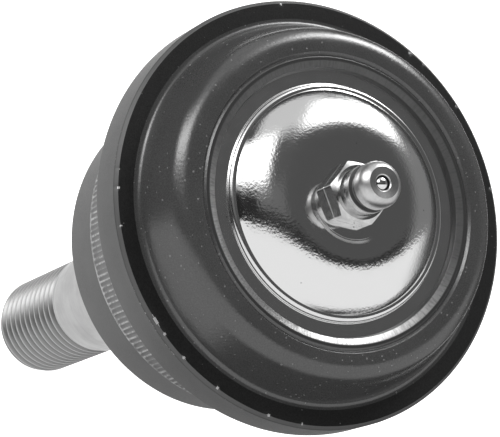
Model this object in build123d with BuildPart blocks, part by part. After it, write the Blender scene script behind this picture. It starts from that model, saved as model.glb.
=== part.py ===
from build123d import *

import os
from math import asin, cos, degrees, pi, radians, sin, sqrt, tan

# Press-in suspension ball joint with a grease nipple in its domed cover plate.
# Lengths are millimetres. The origin is the centre of the flange's seating face, where the
# joint is pressed home in its arm. +Z runs along the joint axis towards the grease nipple,
# and the stud hangs down along -Z.

# Ball, its play in the bearings and its swing
ball_diameter = 30.0
ball_flat_diameter = 8.0
swing_limit = 20.0
running_clearance = 0.05

# Bearings, pressure plate and disc spring, stacked in one bore
bearing_wall = 4.0
bearing_crown = 0.6
bearing_grease_hole_diameter = 10.0
bearing_parting_gap = 2.0
bearing_foot_wall = 0.8
bearing_edge_angle = 1.5
grease_groove_diameter = 1.6
pressure_plate_thickness = 1.0
pressure_plate_bore = 11.0
disc_spring_thickness = 1.2
disc_spring_height = 2.25
disc_spring_bore = 18.0
disc_spring_rim_gap = 0.6

# Cover plate, seated on a ledge round the bore
cover_ledge = 1.1
cover_thickness = 1.25
cover_flat_width = 3.35
dome_step_run = 0.9
dome_step_height = 0.85
dome_height = 3.75
dome_shoulder_run = 7.85
cover_neck_diameter = 9.0
cover_neck_length = 2.0

# Lip rolled over the cover plate
lip_wall = 0.25
lip_overlap = 1.4
lip_crown_width = 0.5
lip_height = 7.1
lip_cone_height = 0.95
lip_edge_thickness = 0.15
lip_groove_width = 0.7
lip_groove_depth = 0.25
lip_groove_round = 0.12

# Rounded bulge in front of the flange
bulge_ring_width = 6.6
bulge_height = 7.25
bulge_wall_lean = 19.5
bulge_foot_round = 0.5
bulge_shoulder_round = 3.0

# Flange
flange_diameter = 61.0
flange_thickness = 6.1
flange_edge_chamfer = 0.5
flange_back_round = 0.3

# Press collar behind the flange: a plain land, then straight knurling of the same diameter
collar_diameter = 50.0
land_length = 3.5
knurl_depth = 0.35
knurl_length = 10.8
knurl_teeth = 190

# Body behind the collar, and the neck that carries the boot
body_diameter = 47.2
body_length = 10.3
body_chamfer = 0.6
boot_neck_wall = 2.17
boot_groove_width = 3.2
boot_rim_step = 0.7
boot_rim_width = 1.0
boot_rim_round = 0.3
opening_clearance = 0.7

# Stud
neck_diameter = 15.4
neck_length = 4.13
neck_flare_length = 15.5
neck_round = 4.0
boot_seat_diameter = 18.8
boot_seat_length = 5.5
boot_seat_round = 6.0
taper_on_diameter = 1 / 8
taper_length = 20.0
thread_diameter = 16.0
thread_length = 23.2
thread_run_in = 0.5
stud_chamfer_length = 3.3
stud_end_diameter = 12.8
center_hole_diameter = 2.4
center_hole_mouth = 5.0
center_hole_depth = 3.5
center_hole_cone_depth = 2.2

# Dust boot and its rings
boot_clearance = 0.05
boot_wall = 1.6
boot_bead_wall = 1.65
boot_bead_height = 3.3
boot_shoulder_wall = 0.25
boot_shoulder_drop = 1.4
boot_fold_depth = 1.6
boot_fold_drop = 2.3
boot_fold_round = 1.0
boot_bulb_step = 1.0
boot_bulb_drop = 2.7
boot_bulb_round = 2.4
boot_lip_wall = 2.75
boot_lip_length = 4.0
ring_thickness = 0.8
ring_width = 1.7
ring_inset = 0.8

# Grease nipple
hexagon_flats = 8.0
hexagon_height = 2.3
hexagon_turn = -4.0
hexagon_chamfer_angle = 30.0
hexagon_face_diameter = 7.6
nipple_height = 8.4
nipple_nose_diameter = 4.4
nipple_head_diameter = 6.5
nipple_head_crown = 1.7
nipple_head_rim = 0.9
nipple_head_underside = 0.4
nipple_waist_diameter = 4.8
nipple_waist_length = 0.8
nipple_barrel_diameter = 6.7
nipple_barrel_round = 0.4
nipple_shank_diameter = 6.0
nipple_shank_length = 5.4
nipple_bore_diameter = 2.6
nipple_mouth_diameter = 2.1
nipple_mouth_flare_diameter = 2.6
nipple_mouth_land = 0.15
nipple_tail_hole_diameter = 1.4
nipple_tail_thickness = 0.6
check_ball_diameter = 2.5
check_ball_depth = 0.12
check_ball_clearance = 0.02
check_spring_diameter = 2.1
check_spring_wire = 0.3
check_spring_coils = 6
spring_end_clearance = 0.05

# Radii from the ball outwards: bore, cover plate, lip and bulge
ball_radius = ball_diameter / 2
bearing_radius = ball_radius + running_clearance
bore_radius = ball_radius + bearing_wall
sliding_radius = bore_radius - running_clearance
cover_radius = bore_radius + cover_ledge
cover_step_radius = cover_radius - cover_flat_width
dome_edge_radius = cover_step_radius - dome_step_run
lip_radius = cover_radius + lip_wall
lip_opening_radius = cover_radius - lip_overlap
bulge_foot_radius = lip_radius + bulge_ring_width
bulge_shoulder_radius = bulge_foot_radius - bulge_height * tan(radians(bulge_wall_lean))
flange_radius = flange_diameter / 2
collar_radius = collar_diameter / 2
body_radius = body_diameter / 2

# Heights of the housing and the cover plate
bulge_top = flange_thickness + bulge_height
lip_top = flange_thickness + lip_height
lip_edge_height = lip_top - lip_cone_height
cover_top = lip_edge_height - lip_edge_thickness
cover_bottom = cover_top - cover_thickness
dome_edge_height = cover_top + dome_step_height
nipple_seat_height = dome_edge_height + dome_height
knurl_end = -(land_length + knurl_length)
body_end = knurl_end - body_length
boot_groove_end = body_end - boot_groove_width
housing_end = boot_groove_end - boot_rim_width

# Heights of the stack under the cover plate, down to the ball and the foot of its seat
plate_top = cover_bottom - disc_spring_height
upper_bearing_top = plate_top - pressure_plate_thickness
ball_center_height = upper_bearing_top - bearing_crown - ball_radius
neck_radius = neck_diameter / 2
neck_angle = degrees(asin(neck_radius / ball_radius))
seat_edge_angle = neck_angle + swing_limit + bearing_edge_angle
lower_bearing_foot = ball_center_height - bearing_radius * cos(radians(seat_edge_angle)) - bearing_foot_wall

# Heights along the stud
neck_end = ball_center_height - ball_radius * cos(radians(neck_angle)) - neck_length
boot_seat_top = neck_end - neck_flare_length
boot_seat_end = boot_seat_top - boot_seat_length
taper_end = boot_seat_end - taper_length
thread_start = taper_end - thread_run_in
thread_end = thread_start - thread_length
stud_end = thread_end - stud_chamfer_length


def section(corners):
    """A closed half section from corners given as (radius, height, corner round)."""
    places = [(radius, height) for radius, height, corner in corners]
    return FilletPolyline(*places, radius=[corner for radius, height, corner in corners], close=True)


def turned(corners):
    """A solid turned about Z from a closed half section."""
    with BuildPart() as body:
        with BuildSketch(Plane.XZ):
            with BuildLine():
                section(corners)
            make_face()
        revolve(axis=Axis.Z)
    return body


def tangent_radius(rise, run):
    """The radius of an arc that starts along the run and has bent by the rise at the run's end."""
    return (run**2 + rise**2) / (2 * rise)


def stud_radius(height):
    """The stud's radius where it runs through the housing's opening and flares to the boot seat."""
    flare = max(0, neck_end - height) / neck_flare_length
    return neck_radius + flare * (boot_seat_diameter / 2 - neck_radius)


def opening_radius(height):
    """The opening that clears the stud at this height when it stands at its swing limit."""
    depth = ball_center_height - height
    swing = radians(swing_limit)
    return depth * tan(swing) + stud_radius(height) / cos(swing) + opening_clearance


# Housing: flange, bulge, lip, collar, body, boot neck and bearing bore turned as one forging
flange_ledge = flange_radius - flange_edge_chamfer - bulge_foot_radius
boot_groove_radius = opening_radius(housing_end) + boot_neck_wall
boot_rim_radius = boot_groove_radius + boot_rim_step
housing_corners = [
    (opening_radius(housing_end), housing_end, 0),
    (boot_rim_radius, housing_end, boot_rim_round),
    (boot_rim_radius, boot_groove_end, boot_rim_round),
    (boot_groove_radius, boot_groove_end, 0),
    (boot_groove_radius, body_end, 0),
    (body_radius - body_chamfer, body_end, 0),
    (body_radius, body_end + body_chamfer, 0),
    (body_radius, -land_length, 0),
    (collar_radius, -land_length, 0),
    (collar_radius, 0, 0),
    (flange_radius, 0, flange_back_round),
    (flange_radius, flange_thickness - flange_edge_chamfer, 0),
    (flange_radius - flange_edge_chamfer, flange_thickness, 0),
    (bulge_foot_radius, flange_thickness, min(bulge_foot_round, flange_ledge)),
    (bulge_shoulder_radius, bulge_top, bulge_shoulder_round),
    (lip_radius + lip_groove_width, bulge_top, lip_groove_round),
    (lip_radius + lip_groove_width / 2, lip_top - lip_groove_depth, lip_groove_round),
    (lip_radius, lip_top, lip_groove_round),
    (lip_radius - lip_crown_width, lip_top, 0),
    (lip_opening_radius, lip_edge_height, 0),
    (lip_opening_radius, cover_top, 0),
    (cover_radius, cover_top, 0),
    (cover_radius, cover_bottom, 0),
    (bore_radius, cover_bottom, 0),
    (bore_radius, lower_bearing_foot, 0),
    (opening_radius(lower_bearing_foot), lower_bearing_foot, 0),
]
with BuildPart() as housing:
    with BuildSketch(Plane.XZ):
        with BuildLine():
            section(housing_corners)
        make_face()
    revolve(axis=Axis.Z)
    # Straight knurling: V-shaped teeth side by side, their crests level with the plain land
    with BuildSketch(Plane.XY.offset(knurl_end)):
        with BuildLine():
            half_pitch = pi / knurl_teeth
            tooth_points = []
            for tooth in range(knurl_teeth):
                crest = 2 * tooth * half_pitch
                root = crest + half_pitch
                root_radius = collar_radius - knurl_depth
                tooth_points.append((collar_radius * cos(crest), collar_radius * sin(crest)))
                tooth_points.append((root_radius * cos(root), root_radius * sin(root)))
            Polyline(*tooth_points, close=True)
        make_face()
        Circle((bore_radius + body_radius) / 2, mode=Mode.SUBTRACT)
    extrude(amount=knurl_length)
housing.part.label = "housing"

# Cover plate: pressed sheet with a step, a round shoulder, a flat top and a plunged neck for the nipple
plateau_radius = dome_edge_radius - dome_shoulder_run
dome_radius = tangent_radius(dome_height, dome_shoulder_run)
dome_center_height = nipple_seat_height - dome_radius
dome_angle = degrees(asin(dome_shoulder_run / dome_radius))
inner_dome_radius = dome_radius - cover_thickness
inner_dome_angle = 90 - degrees(asin((cover_bottom - dome_center_height) / inner_dome_radius))
neck_hole_radius = nipple_shank_diameter / 2
cover_neck_end = nipple_seat_height - cover_thickness - cover_neck_length
with BuildPart() as cover_plate:
    with BuildSketch(Plane.XZ):
        with BuildLine():
            outer_dome = CenterArc((plateau_radius, dome_center_height), dome_radius, 90, -dome_angle)
            inner_dome = CenterArc((plateau_radius, dome_center_height), inner_dome_radius, 90, -inner_dome_angle)
            Polyline(
                outer_dome @ 1,
                (cover_step_radius, cover_top),
                (cover_radius, cover_top),
                (cover_radius, cover_bottom),
                inner_dome @ 1,
            )
            Polyline(
                inner_dome @ 0,
                (cover_neck_diameter / 2, nipple_seat_height - cover_thickness),
                (cover_neck_diameter / 2, cover_neck_end),
                (neck_hole_radius, cover_neck_end),
                (neck_hole_radius, nipple_seat_height),
                outer_dome @ 0,
            )
        make_face()
    revolve(axis=Axis.Z)
cover_plate.part.label = "cover_plate"

# Grease nipple body: hexagon, barrel, waist, rounded head, shank and stepped bore
nose_height = nipple_seat_height + nipple_height
head_height = nose_height - nipple_head_crown
head_radius = nipple_head_diameter / 2
head_crown_radius = tangent_radius(head_radius - nipple_nose_diameter / 2, nipple_head_crown)
head_crown_angle = degrees(asin(nipple_head_crown / head_crown_radius))
waist_end = head_height - nipple_head_rim - nipple_head_underside
waist_height = waist_end - nipple_waist_length
hexagon_top = nipple_seat_height + hexagon_height
hexagon_corner_radius = hexagon_flats / sqrt(3)
hexagon_face_radius = hexagon_face_diameter / 2
hexagon_corner_drop = (hexagon_corner_radius - hexagon_face_radius) * tan(radians(hexagon_chamfer_angle))
shank_end = nipple_seat_height - nipple_shank_length
check_ball_radius = check_ball_diameter / 2
check_ball_height = nose_height - check_ball_depth - check_ball_radius
ball_seat_radius = check_ball_radius + check_ball_clearance
mouth_rise = sqrt(ball_seat_radius**2 - (nipple_mouth_diameter / 2) ** 2)
mouth_angle = degrees(asin(mouth_rise / ball_seat_radius))
with BuildPart() as nipple_body:
    with BuildSketch(Plane.XY.offset(nipple_seat_height)):
        RegularPolygon(hexagon_flats / 2, 6, major_radius=False, rotation=hexagon_turn)
    extrude(amount=hexagon_height)
    # The hexagon's corners are turned down to a cone
    with BuildSketch(Plane.XZ):
        with BuildLine():
            Polyline(
                (0, nipple_seat_height),
                (hexagon_corner_radius, nipple_seat_height),
                (hexagon_corner_radius, hexagon_top - hexagon_corner_drop),
                (hexagon_face_radius, hexagon_top),
                (0, hexagon_top),
                close=True,
            )
        make_face()
    revolve(axis=Axis.Z, mode=Mode.INTERSECT)
    with BuildSketch(Plane.XZ):
        with BuildLine():
            crown = CenterArc(
                (head_radius - head_crown_radius, head_height), head_crown_radius, 0, head_crown_angle
            )
            Polyline(
                crown @ 1,
                (0, nose_height),
                (0, hexagon_top),
                (nipple_barrel_diameter / 2, hexagon_top),
                (nipple_barrel_diameter / 2, waist_height - nipple_barrel_round),
                (nipple_barrel_diameter / 2 - nipple_barrel_round, waist_height),
                (nipple_waist_diameter / 2, waist_height),
                (nipple_waist_diameter / 2, waist_end),
                (head_radius, head_height - nipple_head_rim),
                crown @ 0,
            )
        make_face()
        with Locations((nipple_shank_diameter / 4, (nipple_seat_height + shank_end) / 2)):
            Rectangle(nipple_shank_diameter / 2, nipple_shank_length)
    revolve(axis=Axis.Z)
    # Bore: tail hole, spring chamber, ball seat and flared mouth
    with BuildSketch(Plane.XZ):
        with BuildLine():
            ball_seat = CenterArc((0, check_ball_height), ball_seat_radius, 0, mouth_angle)
            Polyline(
                ball_seat @ 1,
                (nipple_mouth_diameter / 2, check_ball_height + mouth_rise + nipple_mouth_land),
                (nipple_mouth_flare_diameter / 2, nose_height),
                (0, nose_height),
                (0, shank_end),
                (nipple_tail_hole_diameter / 2, shank_end),
                (nipple_tail_hole_diameter / 2, shank_end + nipple_tail_thickness),
                (nipple_bore_diameter / 2, shank_end + nipple_tail_thickness),
                (nipple_bore_diameter / 2, check_ball_height),
                ball_seat @ 0,
            )
        make_face()
    revolve(axis=Axis.Z, mode=Mode.SUBTRACT)
nipple_body.part.label = "nipple_body"

# Check ball that closes the nipple's mouth
with BuildPart() as nipple_check_ball:
    with Locations((0, 0, check_ball_height)):
        Sphere(check_ball_radius)
nipple_check_ball.part.label = "nipple_check_ball"

# Coil that holds the check ball up
wire_radius = check_spring_wire / 2
coil_radius = check_spring_diameter / 2 - wire_radius
coil_start = shank_end + nipple_tail_thickness + wire_radius + spring_end_clearance
coil_contact_drop = sqrt((check_ball_radius + wire_radius) ** 2 - coil_radius**2)
coil_height = check_ball_height - coil_contact_drop - spring_end_clearance - coil_start
with BuildPart() as nipple_check_spring:
    with BuildLine(Plane.XY.offset(coil_start)):
        coil = Helix(pitch=coil_height / check_spring_coils, height=coil_height, radius=coil_radius)
    with BuildSketch(Plane(coil @ 0, z_dir=coil % 0)):
        RegularPolygon(wire_radius, 6)
    sweep(path=coil, is_frenet=True)
nipple_check_spring.part.label = "nipple_check_spring"

# Disc spring, a shallow cone pressed between the cover plate and the pressure plate
disc_spring_radius = bore_radius - disc_spring_rim_gap
preload_disc_spring = turned(
    [
        (disc_spring_bore / 2, plate_top, 0),
        (disc_spring_radius, cover_bottom - disc_spring_thickness, 0),
        (disc_spring_radius, cover_bottom, 0),
        (disc_spring_bore / 2, plate_top + disc_spring_thickness, 0),
    ]
)
preload_disc_spring.part.label = "preload_disc_spring"

# Pressure plate that spreads the spring's load over the upper bearing
pressure_plate = turned(
    [
        (pressure_plate_bore / 2, upper_bearing_top, 0),
        (sliding_radius, upper_bearing_top, 0),
        (sliding_radius, plate_top, 0),
        (pressure_plate_bore / 2, plate_top, 0),
    ]
)
pressure_plate.part.label = "pressure_plate"


def grease_grooves():
    """Cuts two crossed grease grooves into the bearing that is being built."""
    for turn in (0, 90):
        Torus(bearing_radius, grease_groove_diameter / 2, rotation=(90, 0, turn), mode=Mode.SUBTRACT)


# The bearings part at the ball's middle, where both rims stand back by half the gap
half_gap = bearing_parting_gap / 2
rim_angle = degrees(asin(half_gap / bearing_radius))

# Upper bearing: a sintered cup over the ball, free to turn in the bore
grease_hole_radius = bearing_grease_hole_diameter / 2
crown_angle = 90 - degrees(asin(grease_hole_radius / bearing_radius))
with BuildPart() as upper_bearing:
    with BuildSketch(Plane.XZ):
        with BuildLine():
            cup = CenterArc((0, ball_center_height), bearing_radius, rim_angle, crown_angle - rim_angle)
            Polyline(
                cup @ 1,
                (grease_hole_radius, upper_bearing_top),
                (sliding_radius, upper_bearing_top),
                (sliding_radius, ball_center_height + half_gap),
                cup @ 0,
            )
        make_face()
    revolve(axis=Axis.Z)
    with Locations((0, 0, ball_center_height)):
        grease_grooves()
upper_bearing.part.label = "upper_bearing"

# Lower bearing: a sintered ring under the ball, pressed into the bore
with BuildPart() as lower_bearing:
    with BuildSketch(Plane.XZ):
        with BuildLine():
            seat = CenterArc((0, ball_center_height), bearing_radius, -rim_angle, seat_edge_angle + rim_angle - 90)
            Polyline(
                seat @ 1,
                (opening_radius(lower_bearing_foot), lower_bearing_foot),
                (bore_radius, lower_bearing_foot),
                (bore_radius, ball_center_height - half_gap),
                seat @ 0,
            )
        make_face()
    revolve(axis=Axis.Z)
    with Locations((0, 0, ball_center_height)):
        grease_grooves()
lower_bearing.part.label = "lower_bearing"

# Ball stud: ball, neck, boot seat, taper, thread and centre-drilled end
ball_flat_angle = degrees(asin(ball_flat_diameter / 2 / ball_radius))
boot_seat_radius = boot_seat_diameter / 2
taper_end_radius = boot_seat_radius - taper_length * taper_on_diameter / 2
stud_corners = [
    (neck_radius, neck_end, neck_round),
    (boot_seat_radius, boot_seat_top, boot_seat_round),
    (boot_seat_radius, boot_seat_end, 0),
    (taper_end_radius, taper_end, 0),
    (thread_diameter / 2, thread_start, 0),
    (thread_diameter / 2, thread_end, 0),
    (stud_end_diameter / 2, stud_end, 0),
    (center_hole_mouth / 2, stud_end, 0),
    (center_hole_diameter / 2, stud_end + center_hole_cone_depth, 0),
    (center_hole_diameter / 2, stud_end + center_hole_depth, 0),
]
with BuildPart() as ball_stud:
    with BuildSketch(Plane.XZ):
        with BuildLine():
            ball_sweep = 180 - ball_flat_angle - neck_angle
            ball = CenterArc((0, ball_center_height), ball_radius, 90 - ball_flat_angle, -ball_sweep)
            FilletPolyline(
                ball @ 1,
                *[(radius, height) for radius, height, corner in stud_corners],
                (0, stud_end + center_hole_depth),
                radius=[corner for radius, height, corner in stud_corners],
            )
            Polyline((0, stud_end + center_hole_depth), (0, (ball @ 0).Y), ball @ 0)
        make_face()
    revolve(axis=Axis.Z)
ball_stud.part.label = "ball_stud"

# Dust boot: bead round the housing's neck, one fold, bulb, and lip round the stud
groove_gap_radius = boot_groove_radius + boot_clearance
rim_gap_radius = boot_rim_radius + boot_clearance
bead_radius = rim_gap_radius + boot_bead_wall
bead_top = body_end - boot_clearance
bead_bottom = bead_top - boot_bead_height
clamp_ring_top = bead_top - (boot_bead_height - ring_width) / 2
clamp_seat_radius = bead_radius - ring_inset
shoulder_radius = rim_gap_radius + boot_shoulder_wall
shoulder_height = housing_end - boot_shoulder_drop
fold_radius = shoulder_radius - boot_fold_depth
fold_height = shoulder_height - boot_fold_drop
bulb_radius = fold_radius + boot_bulb_step
bulb_height = fold_height - boot_bulb_drop
stud_gap_radius = boot_seat_radius + boot_clearance
boot_lip_radius = stud_gap_radius + boot_lip_wall
boot_lip_end = boot_seat_end + boot_clearance
boot_lip_top = boot_lip_end + boot_lip_length
neck_ring_top = boot_lip_top - (boot_lip_length - ring_width) / 2
neck_ring_seat_radius = boot_lip_radius - ring_inset
with BuildPart() as dust_boot:
    with BuildSketch(Plane.XZ):
        with BuildLine():
            Polyline(
                (groove_gap_radius, bead_top),
                (bead_radius, bead_top),
                (bead_radius, clamp_ring_top),
                (clamp_seat_radius, clamp_ring_top),
                (clamp_seat_radius, clamp_ring_top - ring_width),
                (bead_radius, clamp_ring_top - ring_width),
                (bead_radius, bead_bottom),
                (shoulder_radius, shoulder_height),
                (shoulder_radius, housing_end - boot_clearance),
                (rim_gap_radius, housing_end - boot_clearance),
                (rim_gap_radius, boot_groove_end + boot_clearance),
                (groove_gap_radius, boot_groove_end + boot_clearance),
                close=True,
            )
        make_face()
        # The folded wall, thickened inwards from its outer face
        with BuildLine():
            FilletPolyline(
                (shoulder_radius, housing_end - boot_clearance),
                (shoulder_radius, shoulder_height),
                (fold_radius, fold_height),
                (bulb_radius, bulb_height),
                (boot_lip_radius, boot_lip_top),
                (stud_gap_radius, boot_lip_top),
                radius=[0, boot_fold_round, boot_bulb_round, 0],
            )
            offset(amount=boot_wall, kind=Kind.INTERSECTION, side=Side.RIGHT)
        make_face()
        with BuildLine():
            Polyline(
                (stud_gap_radius, boot_lip_top),
                (boot_lip_radius, boot_lip_top),
                (boot_lip_radius, neck_ring_top),
                (neck_ring_seat_radius, neck_ring_top),
                (neck_ring_seat_radius, neck_ring_top - ring_width),
                (boot_lip_radius, neck_ring_top - ring_width),
                (boot_lip_radius, boot_lip_end),
                (stud_gap_radius, boot_lip_end),
                close=True,
            )
        make_face()
    revolve(axis=Axis.Z)
dust_boot.part.label = "dust_boot"


def steel_ring(seat_radius, top):
    """A flat steel ring round the boot, in a groove as wide as the ring and its clearances."""
    inner = seat_radius + boot_clearance
    outer = inner + ring_thickness
    upper = top - boot_clearance
    lower = top - ring_width + boot_clearance
    return turned([(inner, lower, 0), (outer, lower, 0), (outer, upper, 0), (inner, upper, 0)])


boot_clamp_ring = steel_ring(clamp_seat_radius, clamp_ring_top)
boot_clamp_ring.part.label = "boot_clamp_ring"
boot_neck_ring = steel_ring(neck_ring_seat_radius, neck_ring_top)
boot_neck_ring.part.label = "boot_neck_ring"

os.makedirs("parts", exist_ok=True)
export_step(housing.part, "parts/housing.step")
export_step(cover_plate.part, "parts/cover_plate.step")
export_step(nipple_body.part, "parts/nipple_body.step")
export_step(nipple_check_ball.part, "parts/nipple_check_ball.step")
export_step(nipple_check_spring.part, "parts/nipple_check_spring.step")
export_step(preload_disc_spring.part, "parts/preload_disc_spring.step")
export_step(pressure_plate.part, "parts/pressure_plate.step")
export_step(upper_bearing.part, "parts/upper_bearing.step")
export_step(lower_bearing.part, "parts/lower_bearing.step")
export_step(ball_stud.part, "parts/ball_stud.step")
export_step(dust_boot.part, "parts/dust_boot.step")
export_step(boot_clamp_ring.part, "parts/boot_clamp_ring.step")
export_step(boot_neck_ring.part, "parts/boot_neck_ring.step")
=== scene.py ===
from collections import namedtuple
from math import asin, cos, pi, radians, sin, sqrt, tan

import bmesh
import bpy
import numpy as np
from mathutils import Matrix, Vector


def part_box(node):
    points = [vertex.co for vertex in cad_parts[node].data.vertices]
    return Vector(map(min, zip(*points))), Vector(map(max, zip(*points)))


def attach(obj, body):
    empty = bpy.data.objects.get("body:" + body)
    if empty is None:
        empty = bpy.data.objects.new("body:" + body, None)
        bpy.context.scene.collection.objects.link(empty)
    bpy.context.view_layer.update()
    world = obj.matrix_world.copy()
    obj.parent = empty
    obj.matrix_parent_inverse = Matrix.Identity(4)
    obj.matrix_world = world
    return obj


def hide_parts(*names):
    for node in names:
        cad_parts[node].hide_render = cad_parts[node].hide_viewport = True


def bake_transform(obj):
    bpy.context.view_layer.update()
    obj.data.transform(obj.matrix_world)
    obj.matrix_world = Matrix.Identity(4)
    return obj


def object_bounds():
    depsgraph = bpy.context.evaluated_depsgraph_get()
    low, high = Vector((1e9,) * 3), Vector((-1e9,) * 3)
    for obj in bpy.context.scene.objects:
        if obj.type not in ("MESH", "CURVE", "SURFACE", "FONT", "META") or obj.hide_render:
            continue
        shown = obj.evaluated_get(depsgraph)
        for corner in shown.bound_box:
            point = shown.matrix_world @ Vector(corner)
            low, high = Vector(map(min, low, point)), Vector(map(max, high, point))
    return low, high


# Press-in suspension ball joint. Sizes are millimetres from the centre of the flange's seating
# face, turned into Blender's metres where a mesh is made. The joint axis is Z.
MM = 0.001
FULL_TURN = 2 * pi

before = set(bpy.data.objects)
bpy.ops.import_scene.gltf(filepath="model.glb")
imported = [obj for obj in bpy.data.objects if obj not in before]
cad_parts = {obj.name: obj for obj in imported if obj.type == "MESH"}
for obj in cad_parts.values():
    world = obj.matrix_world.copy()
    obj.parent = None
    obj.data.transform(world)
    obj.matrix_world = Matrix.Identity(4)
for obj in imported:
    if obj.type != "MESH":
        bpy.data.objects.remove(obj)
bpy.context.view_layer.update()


def node_height(node, end):
    """The lowest (end 0) or highest (end 1) point of a node, in millimetres."""
    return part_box(node)[end].z / MM


def node_radius(node):
    """The largest radius of a turned node, in millimetres."""
    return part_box(node)[1].x / MM


# Housing
FLANGE_RADIUS = node_radius("housing")
FLANGE_THICKNESS = 6.1
FLANGE_CHAMFER = 0.5
COLLAR_RADIUS = 25.0
LAND_LENGTH = 3.5
KNURL_LENGTH = 10.8
KNURL_DEPTH = 0.14
KNURL_TEETH = 190
KNURL_CREST = 0.2
KNURL_FLANK = 0.35
KNURL_END = -(LAND_LENGTH + KNURL_LENGTH)
BODY_RADIUS = 23.6
BODY_END = KNURL_END - 10.3
BODY_CHAMFER = 0.6
BOOT_GROOVE_RADIUS = 19.08
BOOT_RIM_RADIUS = 19.78
BOOT_RIM_TOP = BODY_END - 3.2
HOUSING_END = node_height("housing", 0)
OPENING_END_RADIUS = 16.9
OPENING_TOP_RADIUS = 12.5
SEAT_FOOT = -18.0
BORE_RADIUS = 19.0
BULGE_FOOT_RADIUS = 26.95
BULGE_SHOULDER_RADIUS = 24.38
BULGE_TOP = node_height("housing", 1)
LIP_RADIUS = 20.35
LIP_CROWN_RADIUS = 19.85
LIP_OPENING_RADIUS = 18.7
LIP_TOP = 13.2
LIP_EDGE_RADIUS = 18.95
LIP_EDGE_HEIGHT = 12.85
LIP_RUB_TURN = radians(-45)

# Cover plate
COVER_RADIUS = node_radius("cover_plate")
COVER_TOP = 12.1
COVER_BOTTOM = 10.85
COVER_STEP_RADIUS = 16.75
DOME_EDGE_RADIUS = 15.85
DOME_EDGE_HEIGHT = 12.95
NIPPLE_SEAT_HEIGHT = node_height("cover_plate", 1)
PLATEAU_RADIUS = 8.0
COVER_NECK_RADIUS = 4.5
COVER_NECK_LENGTH = 2.0
COVER_THICKNESS = COVER_TOP - COVER_BOTTOM

# Grease nipple
HEXAGON_FLATS = 8.0
HEXAGON_TOP = NIPPLE_SEAT_HEIGHT + 2.3
HEXAGON_TURN = radians(-4)
HEXAGON_FACE_RADIUS = 3.8
NIPPLE_RUB_RADIUS = 6.4
NIPPLE_NOSE = node_height("nipple_body", 1)
NIPPLE_SHANK_END = node_height("nipple_body", 0)
NIPPLE_SHANK_RADIUS = 3.0
CHECK_BALL_RADIUS = node_radius("nipple_check_ball")
CHECK_BALL_HEIGHT = node_height("nipple_check_ball", 1) - CHECK_BALL_RADIUS

# Stud
BALL_RADIUS = node_radius("ball_stud")
BALL_HEIGHT = -8.0
NECK_RADIUS = 7.7
NECK_END = -25.0
BOOT_SEAT_RADIUS = 9.4
BOOT_SEAT_TOP = -40.5
BOOT_SEAT_END = -46.0
TAPER_END = -66.0
TAPER_END_RADIUS = 8.15
THREAD_START = -66.5
THREAD_RADIUS = 8.0
THREAD_PITCH = 2.0
THREAD_DEPTH = 0.85
THREAD_END = -89.7
STUD_END = node_height("ball_stud", 0)
STUD_END_RADIUS = 6.4
# Side of the stud's end where a painted shadow darkens the thread
END_SHADE_TURN = radians(-2)

# The camera looks down on the cover plate, leaning off the joint axis, and rolled so that the
# stud points to the lower left
VIEW_LEAN = radians(30.4066)
VIEW_ROLL = radians(66.473)
VIEW_TARGET = Vector((-2.715, -6.132, -0.463)) * MM
VIEW_DISTANCE = 350 * MM
LENS = 180
SENSOR = 36


# Shapes


class Skin:
    """Patches of points that together make the surface of one piece."""

    def __init__(self):
        self.points = []
        self.faces = []
        self.finishes = []
        self.count = 0

    def add(self, radius, angle, height, finish=0, wrap=True):
        """Adds a patch: a row for each line round the axis, and a column for each angle.

        The finish is a number for the whole patch, one for each stretch between two rows, or one
        for each face.
        """
        radius, angle, height = np.broadcast_arrays(radius, angle, height)
        rows, columns = radius.shape
        places = np.stack([radius * np.cos(angle), radius * np.sin(angle), height], axis=-1)
        numbers = self.count + np.arange(rows * columns).reshape(rows, columns)
        if wrap:
            numbers = np.concatenate([numbers, numbers[:, :1]], axis=1)
        quads = np.stack([numbers[:-1, :-1], numbers[:-1, 1:], numbers[1:, 1:], numbers[1:, :-1]], axis=-1)
        stretches = np.reshape(finish, (-1, 1)) if np.ndim(finish) < 2 else finish
        self.points.append(places.reshape(-1, 3))
        self.faces.append(quads.reshape(-1, 4))
        self.finishes.append(np.broadcast_to(stretches, quads.shape[:2]).reshape(-1))
        self.count += rows * columns

    def build(self, name, materials, sharp_angle=30):
        """The finished object, its patches joined where they meet."""
        mesh = bpy.data.meshes.new(name)
        mesh.from_pydata(np.concatenate(self.points) * MM, [], np.concatenate(self.faces))
        mesh.polygons.foreach_set("material_index", np.concatenate(self.finishes).astype(np.int32))
        shell = bmesh.new()
        shell.from_mesh(mesh)
        bmesh.ops.remove_doubles(shell, verts=shell.verts, dist=0.0005 * MM)
        bmesh.ops.recalc_face_normals(shell, faces=shell.faces)
        shell.to_mesh(mesh)
        shell.free()
        for finish in materials:
            mesh.materials.append(finish)
        mesh.shade_smooth()
        mesh.set_sharp_from_angle(angle=radians(sharp_angle))
        piece = bpy.data.objects.new(name, mesh)
        bpy.context.scene.collection.objects.link(piece)
        return piece


def rounded(corners, arc_step=9):
    """Points along an outline whose corners are (radius, height, round, finish), and each point's finish."""
    points = []
    finishes = []
    for index, (radius, height, corner, finish) in enumerate(corners):
        here = Vector((radius, height))
        if not corner:
            points.append(here)
            finishes.append(finish)
            continue
        before = (Vector(corners[index - 1][:2]) - here).normalized()
        after = (Vector(corners[(index + 1) % len(corners)][:2]) - here).normalized()
        half = before.angle(after) / 2
        middle = here + (before + after).normalized() * corner / sin(half)
        start = here + before * corner / tan(half) - middle
        sweep = start.angle_signed(here + after * corner / tan(half) - middle)
        steps = max(2, round(abs(sweep) / radians(arc_step)))
        for step in range(steps + 1):
            turned_by = Matrix.Rotation(-sweep * step / steps, 2)
            points.append(middle + turned_by @ start)
            finishes.append(finish if step * 2 >= steps else corners[index - 1][3])
    return np.array([tuple(point) for point in points]), np.array(finishes)


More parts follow.
